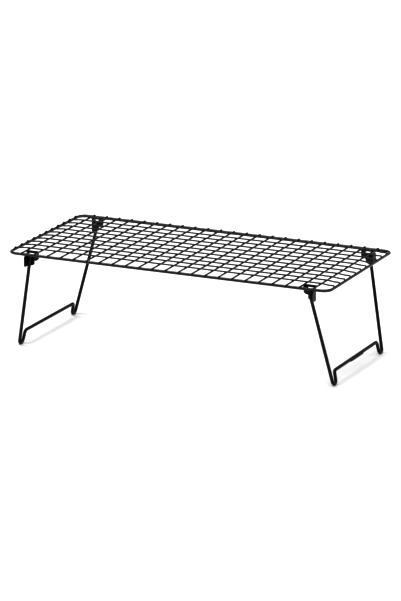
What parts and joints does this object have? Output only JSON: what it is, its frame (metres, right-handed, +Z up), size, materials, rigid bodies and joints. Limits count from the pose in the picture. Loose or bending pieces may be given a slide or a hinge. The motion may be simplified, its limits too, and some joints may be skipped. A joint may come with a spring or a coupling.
{
  "type": "folding wire cooling rack",
  "caption": "Rectangular wire grid on a heavier rim wire, held up by two bent-wire leg frames that fold in under it.",
  "frame": {"origin": "on the floor, under the middle of the rack, with the legs open", "axes": "+Z up, +X along the rack's length, +Y to the back"},
  "size_m": [0.4868, 0.2338, 0.1455],
  "materials": {
    "rim_wire": "black non-stick coating on steel wire, satin",
    "grid_wire": "black non-stick coating on thin steel wire, satin",
    "hinge_bracket": "black coating on pressed sheet steel, satin",
    "leg_frame": "black non-stick coating on steel wire, satin"
  },
  "bodies": {
    "deck": {"rim_wire": "rim_wire", "short_wire_01": "grid_wire", "short_wire_02": "grid_wire", "short_wire_03": "grid_wire", "short_wire_04": "grid_wire", "short_wire_05": "grid_wire", "short_wire_06": "grid_wire", "short_wire_07": "grid_wire", "short_wire_08": "grid_wire", "short_wire_09": "grid_wire", "short_wire_10": "grid_wire", "short_wire_11": "grid_wire", "short_wire_12": "grid_wire", "short_wire_13": "grid_wire", "short_wire_14": "grid_wire", "short_wire_15": "grid_wire", "short_wire_16": "grid_wire", "short_wire_17": "grid_wire", "short_wire_18": "grid_wire", "short_wire_19": "grid_wire", "short_wire_20": "grid_wire", "short_wire_21": "grid_wire", "short_wire_22": "grid_wire", "short_wire_23": "grid_wire", "long_wire_01": "grid_wire", "long_wire_02": "grid_wire", "long_wire_03": "grid_wire", "long_wire_04": "grid_wire", "long_wire_05": "grid_wire", "long_wire_06": "grid_wire", "long_wire_07": "grid_wire", "long_wire_08": "grid_wire", "long_wire_09": "grid_wire", "long_wire_10": "grid_wire", "long_wire_11": "grid_wire", "hinge_bracket_front_left": "hinge_bracket", "hinge_bracket_front_right": "hinge_bracket", "hinge_bracket_back_left": "hinge_bracket", "hinge_bracket_back_right": "hinge_bracket"},
    "left_leg": {"leg_frame_left": "leg_frame"},
    "right_leg": {"leg_frame_right": "leg_frame"}
  },
  "joints": [
    {"name": "left_leg_fold", "type": "hinge", "parent": "deck", "child": "left_leg", "pos_m": [-0.2112, 0, 0.13263], "axis": [0, -1, 0], "range_deg": [0, 104]},
    {"name": "right_leg_fold", "type": "hinge", "parent": "deck", "child": "right_leg", "pos_m": [0.2112, 0, 0.13263], "axis": [0, 1, 0], "range_deg": [0, 104]}
  ]
}
